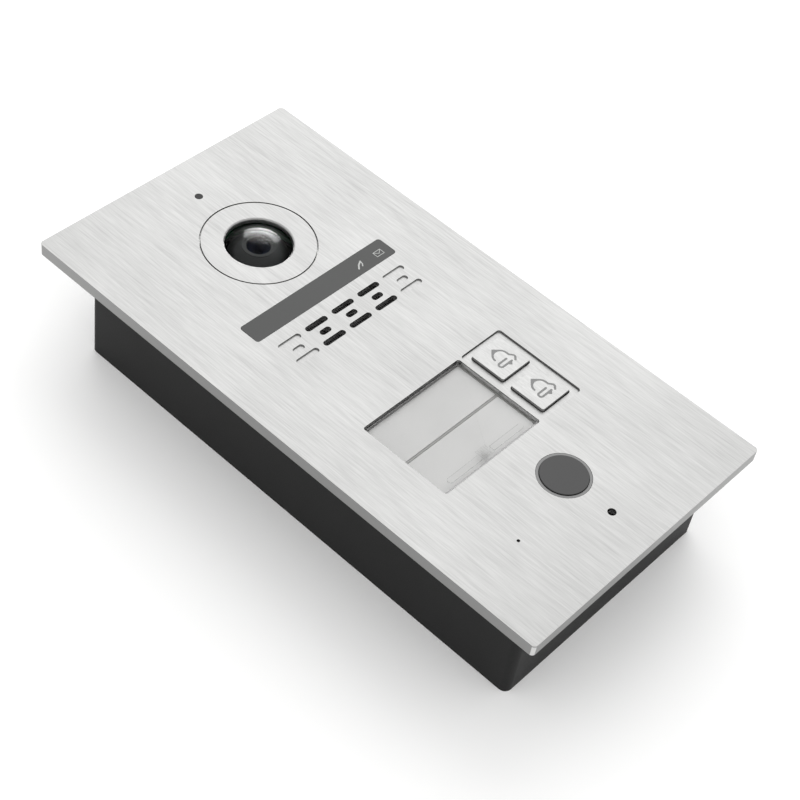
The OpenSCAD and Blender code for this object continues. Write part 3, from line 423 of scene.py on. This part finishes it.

# %% [markdown]
# ## Boards and copper
#
# A circuit board is woven glass fibre under green solder mask, and the copper below shows as
# slightly lighter tracks. A brick pattern of long, thin bricks gives tracks with square ends, and the
# tracks go into the bump. The reader's coil is a hundred turns of thin enamelled wire, so its
# rings come from a sine of the distance to the coil's own axis.


# %% Make the board and coil finishes
def solder_mask(name, color):
    board = Finish(name, color, 0.3, **{"Coat Weight": 0.4})
    tracks = board.node("ShaderNodeTexBrick", {"offset": 0.37, "squash": 0.6},
        {"Vector": board.stretched(1, 1, 1), "Scale": 240.0, "Mortar Size": 0.09, "Mortar Smooth": 0.3,
         "Brick Width": 2.6, "Row Height": 0.32}, "Fac")
    patches = board.ramp(board.noise(0.012, 1), (0.48, 0.0), (0.52, 1.0))
    copper = tracks * patches
    board.set("Base Color", board.blend(copper, color, shade(color, 1.9)))
    board.set("Roughness", 0.42 - copper * 0.15)
    board.bump(copper, 0.00004, 0.6)
    return board.material


def wound_wire(name, color, node):
    low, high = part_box(node)
    middle = (low + high) / 2
    coil = Finish(name, color, 0.3, Metallic=1.0)
    centred = coil.node("ShaderNodeMapping", None, {"Vector": coil.place, "Location": tuple(-middle)})
    turns = coil.node("ShaderNodeTexWave", {"wave_type": "RINGS", "rings_direction": "Z"},
        {"Vector": centred, "Scale": 1100.0, "Distortion": 0.3, "Detail": 0.0}, "Fac")
    coil.set("Base Color", coil.blend(turns, shade(color, 0.45), color))
    coil.bump(turns, 0.00008, 0.8)
    return coil.material


finishes["board_green"] = solder_mask("green_solder_mask", (0.012, 0.11, 0.04))
finishes["coil_copper"] = wound_wire("enamelled_copper", (0.75, 0.36, 0.16), "reader_coil")
print("boards and coil ready, missing finishes:", sorted(set(slot_of.values()) - set(finishes)))

# %% [markdown]
# ## Give every part its finish
#
# A part from the frame keeps its shape. Its material is set on its object, by the slot that the
# record names for it.

# %% Dress the parts
for name, part in nodes.items():
    part.data.materials.clear()
    part.data.materials.append(finishes[slot_of[name]])
print("dressed", len(nodes), "parts")

# %% [markdown]
# ## Soften the edges
#
# No real edge is perfectly sharp: a punched plate has a small break along every cut, and a moulded
# wall has a radius. That thin line of light along each edge is most of what makes metal look like
# metal. The frame's meshes are loose triangles, so a copy is welded, its flat faces are joined, and
# a Bevel modifier rounds every edge over a set angle. The copy then stands in for the part.


# %% Tools for working on a mesh as by hand
WELD = 0.000002
SMOOTH_BELOW = math.radians(38)


def only(piece):
    """Selects one piece and nothing else."""
    bpy.ops.object.select_all(action="DESELECT")
    piece.select_set(True)
    bpy.context.view_layer.objects.active = piece


def edit(piece, mode="VERT"):
    """Opens a piece in edit mode with all of it selected."""
    only(piece)
    bpy.ops.object.mode_set(mode="EDIT")
    bpy.ops.mesh.select_mode(type=mode)
    bpy.ops.mesh.select_all(action="SELECT")


def close():
    bpy.ops.object.mode_set(mode="OBJECT")


def modify(piece, kind, **settings):
    """Adds a modifier and applies it."""
    only(piece)
    modifier = piece.modifiers.new(kind.lower(), kind)
    for key, value in settings.items():
        setattr(modifier, key, value)
    bpy.ops.object.modifier_apply(modifier=modifier.name)


def finish_piece(piece, node, finish_slot=None, stands_for=True):
    """Gives a finished piece the finish of its slot, hangs it on its body, and hides the part it stands for
    when it stands for one.
    """
    finish_slot = finish_slot or slot_of[node]
    piece.data.materials.clear()
    piece.data.materials.append(finishes[finish_slot])
    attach(piece, body_of[node])
    if stands_for:
        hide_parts(node)
    return piece


def softened(node, name, width, segments=2, angle=32, lip=None):
    """A welded copy of a part with its sharp edges rounded, and one round opening's lip as well."""
    mesh = nodes[node].data.copy()
    piece = bpy.data.objects.new(name, mesh)
    scene.collection.objects.link(piece)
    edit(piece)
    bpy.ops.mesh.remove_doubles(threshold=WELD)
    bpy.ops.mesh.dissolve_limited(angle_limit=math.radians(0.4))
    if lip:
        centre, radius, offset = lip
        pick(piece, lambda co: co.z > PLATE_TOP - 0.01 * MM and (co.xy - centre.xy).length < radius)
        bpy.ops.mesh.bevel(offset=offset, segments=6, affect="EDGES")
    close()
    bpy.ops.mesh.customdata_custom_splitnormals_clear()
    modify(piece, "BEVEL", width=width, segments=segments, limit_method="ANGLE",
        angle_limit=math.radians(angle), miter_outer="MITER_ARC", use_clamp_overlap=True)
    bpy.ops.object.shade_smooth_by_angle(angle=SMOOTH_BELOW)
    modify(piece, "WEIGHTED_NORMAL", keep_sharp=True)
    return finish_piece(piece, node)


def turned(name, centre, rings, sides=48, close_end=False):
    """Draws a round piece ring by ring, as on a lathe: each ring is a radius and a height in mm."""
    bpy.ops.object.select_all(action="DESELECT")
    (radius, height), *rest = rings
    bpy.ops.mesh.primitive_circle_add(vertices=sides, radius=radius * MM, location=(0, 0, 0))
    piece = bpy.context.object
    piece.name = name
    edit(piece, "EDGE")
    bpy.ops.transform.translate(value=(centre.x, centre.y, height * MM))
    for next_radius, next_height in rest:
        bpy.ops.mesh.extrude_edges_move(
            TRANSFORM_OT_translate={"value": (0, 0, (next_height - height) * MM)})
        bpy.ops.transform.resize(value=(next_radius / radius, next_radius / radius, 1),
            center_override=(centre.x, centre.y, next_height * MM))
        radius, height = next_radius, next_height
    if close_end:
        bpy.ops.mesh.edge_face_add()
    bpy.ops.mesh.select_all(action="SELECT")
    bpy.ops.mesh.remove_doubles(threshold=WELD)
    bpy.ops.mesh.normals_make_consistent(inside=False)
    close()
    bpy.ops.object.shade_smooth_by_angle(angle=SMOOTH_BELOW)
    return piece


def copied(piece, offset):
    """A second piece with a mesh of its own, moved by an offset."""
    only(piece)
    bpy.ops.object.duplicate(linked=False)
    twin = bpy.context.object
    edit(twin)
    bpy.ops.transform.translate(value=offset)
    close()
    return twin


def joined(pieces, name):
    bpy.ops.object.select_all(action="DESELECT")
    for piece in pieces:
        piece.select_set(True)
    bpy.context.view_layer.objects.active = pieces[0]
    bpy.ops.object.join()
    pieces[0].name = name
    return pieces[0]


def pick(piece, test):
    """Selects the vertices that pass a test of their place, in edit mode."""
    bpy.ops.mesh.select_all(action="DESELECT")
    bpy.ops.object.mode_set(mode="OBJECT")
    for vertex in piece.data.vertices:
        vertex.select = test(vertex.co)
    bpy.ops.object.mode_set(mode="EDIT")


def solids_of(node):
    """The lowest and highest corners of each separate solid in a part, in order of place."""
    piece = bpy.data.objects.new("counted", nodes[node].data.copy())
    scene.collection.objects.link(piece)
    edit(piece)
    bpy.ops.mesh.remove_doubles(threshold=WELD)
    bpy.ops.mesh.separate(type="LOOSE")
    close()
    boxes = []
    for loose in list(bpy.context.selected_objects):
        corners = [v.co for v in loose.data.vertices]
        boxes.append(tuple(Vector(f(c[i] for c in corners) for i in range(3)) for f in (min, max)))
        bpy.data.objects.remove(loose)
    return sorted(boxes, key=lambda b: tuple(b[0]))


print("mesh tools ready")

# %% Round the plate, the bezel, the buttons and the box
soft_edges = {
    "front_plate": ("punched_plate", 0.1),
    "camera_bezel": ("turned_bezel", 0.12),
    "button_frame": ("button_surround", 0.06),
    "call_button_upper": ("upper_button", 0.22),
    "call_button_lower": ("lower_button", 0.22),
    "indicator_window": ("indicator_strip", 0.12),
    "name_window": ("window_lid", 0.12),
    "card_tray": ("card_holder", 0.15),
    "reader_ring": ("reader_surround", 0.15),
    "reader_cap": ("reader_disc", 0.25),
    "flush_box": ("wall_box", 0.4),
    "hook_rivet": ("rivet", 0.12),
}
for node, (name, width) in soft_edges.items():
    low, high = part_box(node)
    lip = ((low + high) / 2, 14 * MM, 0.8 * MM) if node == "camera_bezel" else None
    piece = softened(node, name, width * MM, lip=lip)
    print(name, len(piece.data.polygons), "faces")

# %% Round the pieces inside
inner_edges = {
    "module_carrier": ("carrier", 0.2), "inner_tub": ("tub", 0.3), "hook_bracket": ("hook", 0.15),
    "screw_clip": ("clip", 0.15), "camera_socket": ("socket", 0.2), "tilt_ring": ("gimbal_ring", 0.15),
    "camera_eye": ("eye", 0.12), "lens_barrel": ("barrel", 0.1), "speaker_frame": ("speaker_basket", 0.15),
    "speaker_magnet": ("magnet", 0.3), "light_guide": ("guide", 0.2), "mic_boot": ("boot", 0.2),
    "terminal_block": ("terminals", 0.2), "lock_relay": ("relay", 0.4), "main_chips": ("chips", 0.08),
    "tamper_switch": ("switch_body", 0.2), "tamper_plunger": ("plunger", 0.15),
    "cable_grommet": ("grommet", 0.3), "security_screw": ("pin_screw", 0.12),
    "board_screws": ("small_screws", 0.12), "stud_nuts": ("nuts", 0.15),
    "ribbon_connector": ("ribbon", 0.15), "reader_coil": ("coil", 0.2), "board_leds": ("leds", 0.08),
    "return_dome_upper": ("upper_dome", 0.15), "return_dome_lower": ("lower_dome", 0.15),
}
for node, (name, width) in inner_edges.items():
    softened(node, name, width * MM)
print(len(inner_edges), "inner pieces rounded")

# %% [markdown]
# ## The speaker's guard
#
# Behind the slots is a square-woven guard of black wire, which keeps fingers and insects out. A
# picture of a mesh would look flat at the slots' edges, so it is cut from a grid: each square is
# inset by half a wire and taken out, the corners are cut to the guard's outline, and the sheet is
# thickened.

# %% Weave the speaker guard
low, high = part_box("speaker_mesh")
middle, size = (low + high) / 2, high - low
WIRE = 0.26 * MM
HOLE = 0.62 * MM
bpy.ops.object.select_all(action="DESELECT")
bpy.ops.mesh.primitive_grid_add(x_subdivisions=round(size.x / (WIRE + HOLE)),
    y_subdivisions=round(size.y / (WIRE + HOLE)), size=1, location=(0, 0, 0))
guard = bpy.context.object
guard.name = "wire_guard"
edit(guard, "FACE")
bpy.ops.transform.resize(value=(size.x, size.y, 1))
bpy.ops.transform.translate(value=middle)
bpy.ops.mesh.inset(thickness=WIRE / 2, use_individual=True)
bpy.ops.mesh.delete(type="FACE")
reach = (size.x - size.y) / 2
bpy.ops.mesh.select_mode(type="VERT")
pick(guard, lambda co: (Vector((max(0, abs(co.x - middle.x) - reach), co.y - middle.y))).length
    > size.y / 2)
bpy.ops.mesh.delete(type="VERT")
close()
modify(guard, "SOLIDIFY", thickness=size.z * 0.8, offset=0)
finish_piece(guard, "speaker_mesh")
print("guard", len(guard.data.polygons), "faces")

# %% [markdown]
# ## Inside the lens
#
# A lens barrel is turned with a stair of thin rings that trap stray light, and a second, smaller
# lens sits at their foot. Seen through the front lens they are the fine circles in the eye. Each
# is drawn ring by ring, as on a lathe.

# %% Turn the lens rings
low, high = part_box("front_lens")
eye = (low + high) / 2
foot = low.z / MM
stair = [(3.4, foot - 0.2), (3.0, foot - 0.2), (3.0, foot - 0.7), (2.6, foot - 0.7),
    (2.6, foot - 1.2), (2.2, foot - 1.2), (2.2, foot - 1.8), (1.8, foot - 1.8), (1.8, foot - 3),
    (3.4, foot - 3), (3.4, foot - 0.2)]
baffles = finish_piece(turned("lens_baffles", eye, stair), "lens_barrel", stands_for=False)
crown = [(1.8, foot - 2.6), (1.5, foot - 2.3), (1.1, foot - 2.08), (0.7, foot - 1.95), (0.3, foot - 1.9)]
glass = turned("inner_lens", eye, crown, close_end=True)
finish_piece(glass, "front_lens", stands_for=False)
print(len(stair), "rings in the barrel")

# %% [markdown]
# ## Threaded studs
#
# The studs are welded to the back of the plate and threaded where the nuts go. The thread's ridges
# are drawn as close rings, with one stud made and five copies.

# %% Thread the studs
low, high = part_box("plate_studs")
stud_r, ridge, pitch = 1.5, 0.22, 0.5
ridges = [(stud_r - 0.4, low.z / MM)]
step = low.z / MM + 0.4
while step < low.z / MM + 12:
    ridges += [(stud_r, step), (stud_r - ridge, step + pitch / 2)]
    step += pitch
ridges += [(stud_r, step), (stud_r, high.z / MM)]
first = turned("stud", low + Vector((stud_r, stud_r, 0)) * MM, ridges, sides=24, close_end=True)
edit(first, "VERT")
pick(first, lambda co: co.z < low.z + 0.01 * MM)
bpy.ops.mesh.edge_face_add()
close()
across, along = (high - low).x - 2 * stud_r * MM, (high - low).y - 2 * stud_r * MM
studs = [first] + [copied(first, (x, y, 0)) for x in (0, across) for y in (0, along / 2, along) if x or y]
studs = finish_piece(joined(studs, "threaded_studs"), "plate_studs")
print("studs", len(studs.data.polygons), "faces")

# %% [markdown]
# ## The speaker's cone
#
# An oval cone is pressed from paper with a half-round roll at its edge and a cap in the middle. A
# round cone is drawn first, then its two halves are pulled apart into the oval.

# %% Press the speaker cone
low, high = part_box("speaker_cone")
middle, size = (low + high) / 2, high - low
rim, top = size.y / 2 / MM, high.z / MM
profile = [(rim, top - 0.6), (rim, top - 0.3), (rim - 0.6, top - 0.3), (rim - 0.9, top - 0.08),
    (rim - 1.3, top), (rim - 1.7, top - 0.08), (rim - 2, top - 0.4), (3.2, top - 2), (2.8, top - 1.6),
    (1.8, top - 1.1), (0.6, top - 0.9)]
cone = turned("pressed_cone", middle, profile, close_end=True)
pull = (size.x - size.y) / 2
for side in (-1, 1):
    edit(cone)
    pick(cone, lambda co: (co.x - middle.x) * side > 0.001 * MM)
    bpy.ops.transform.translate(value=(side * pull, 0, 0))
    close()
modify(cone, "SOLIDIFY", thickness=0.25 * MM, offset=-1)
finish_piece(cone, "speaker_cone")
print("cone", len(cone.data.polygons), "faces")

# %% [markdown]
# ## Capacitors and chip legs
#
# An electrolytic capacitor is a can with a groove rolled near its foot, a plastic sleeve and a bare
# scored top. A chip stands on bent legs; one leg is pulled out of a small block and repeated along
# each side.

# %% Roll the capacitor cans
cans = []
for number, (low, high) in enumerate(solids_of("capacitors")):
    radius, floor, top = (high - low).x / 2 / MM, low.z / MM, high.z / MM
    rings = [(0.4, floor), (radius - 0.2, floor), (radius, floor + 0.2), (radius, floor + 1.3),
        (radius - 0.35, floor + 1.6), (radius - 0.35, floor + 1.8), (radius, floor + 2.1),
        (radius, top - 0.3), (radius - 0.3, top), (radius - 0.8, top), (radius - 0.9, top - 0.15),
        (0.4, top - 0.15)]
    cans.append(turned("can_%d" % number, (low + high) / 2, rings, sides=32, close_end=True))
    print(cans[-1].name, "radius", round(radius, 2))
cans = finish_piece(joined(cans, "capacitor_cans"), "capacitors")

# %% Bend the chip legs
def leg(start, top):
    """One leg that leaves a chip's right side, steps down and ends in a foot."""
    bpy.ops.object.select_all(action="DESELECT")
    bpy.ops.mesh.primitive_cube_add(size=1, location=(0, 0, 0))
    piece = bpy.context.object
    edit(piece)
    bpy.ops.transform.resize(value=(0.4 * MM, 0.35 * MM, 0.15 * MM))
    bpy.ops.transform.translate(value=(start.x + 0.1 * MM, start.y, top))
    for move in ((0.2, 0, -(top - start.z) / MM + 0.1), (0.5, 0, 0)):
        outer = max(v.co.x for v in piece.data.vertices) if move[2] else start.x + 0.5 * MM
        pick(piece, lambda co: co.x > outer - 0.01 * MM)
        bpy.ops.mesh.extrude_region_move(TRANSFORM_OT_translate={"value": [m * MM for m in move]})
    close()
    return piece


legs = []
LEG_PITCH = 1.0
for low, high in solids_of("main_chips"):
    middle = (low + high) / 2
    for quarter in range(4):
        reach, run = ((high - low).x / 2, (high - low).y) if quarter % 2 == 0 else \
            ((high - low).y / 2, (high - low).x)
        if quarter % 2 and (high - low).x < 12 * MM:
            continue
        count = int(run / MM / LEG_PITCH) - 1
        start = Vector((middle.x + reach, middle.y - (count - 1) * LEG_PITCH / 2 * MM, low.z))
        row = leg(start, middle.z)
        modify(row, "ARRAY", count=count, use_relative_offset=False, use_constant_offset=True,
            constant_offset_displace=(0, LEG_PITCH * MM, 0))
        edit(row)
        bpy.ops.transform.rotate(value=math.radians(90 * quarter), orient_axis="Z",
            center_override=middle)
        close()
        legs.append(row)
legs = finish_piece(joined(legs, "chip_legs"), "main_chips", "bare_steel", stands_for=False)
print("legs", len(legs.data.polygons), "faces")

# %% [markdown]
# ## The table
#
# A plain pale surface under the panel, not part of it.

# %% Lay the table
bpy.ops.object.select_all(action="DESELECT")
bpy.ops.mesh.primitive_plane_add(size=8, location=(0, 0, 0))
table = bpy.context.object
table.name = "table"
table_paint = Finish("table_white", (0.93, 0.93, 0.93), 0.8)
table_paint.set("Emission Color", (1, 1, 1))
table_paint.set("Emission Strength", 0.06)
table.data.materials.append(table_paint.material)
print("table laid")

# %% [markdown]
# ## Keep two lights for the dome
#
# A clear dome shows a lamp as a small bright shape, and a lamp strong enough for that would burn out
# the steel round it. Light linking lets the softbox and the strip reach the dome alone. A real
# studio would use flags and cards for this, so it is a convenience and not how light behaves.

# %% Aim the dome's lights
dome_only = bpy.data.collections.new("dome_only")
dome_only.objects.link(bpy.data.objects["dome_cover"])
for light in (dome_light, side_light):
    light.light_linking.receiver_collection = dome_only
print("two lights kept for the dome")
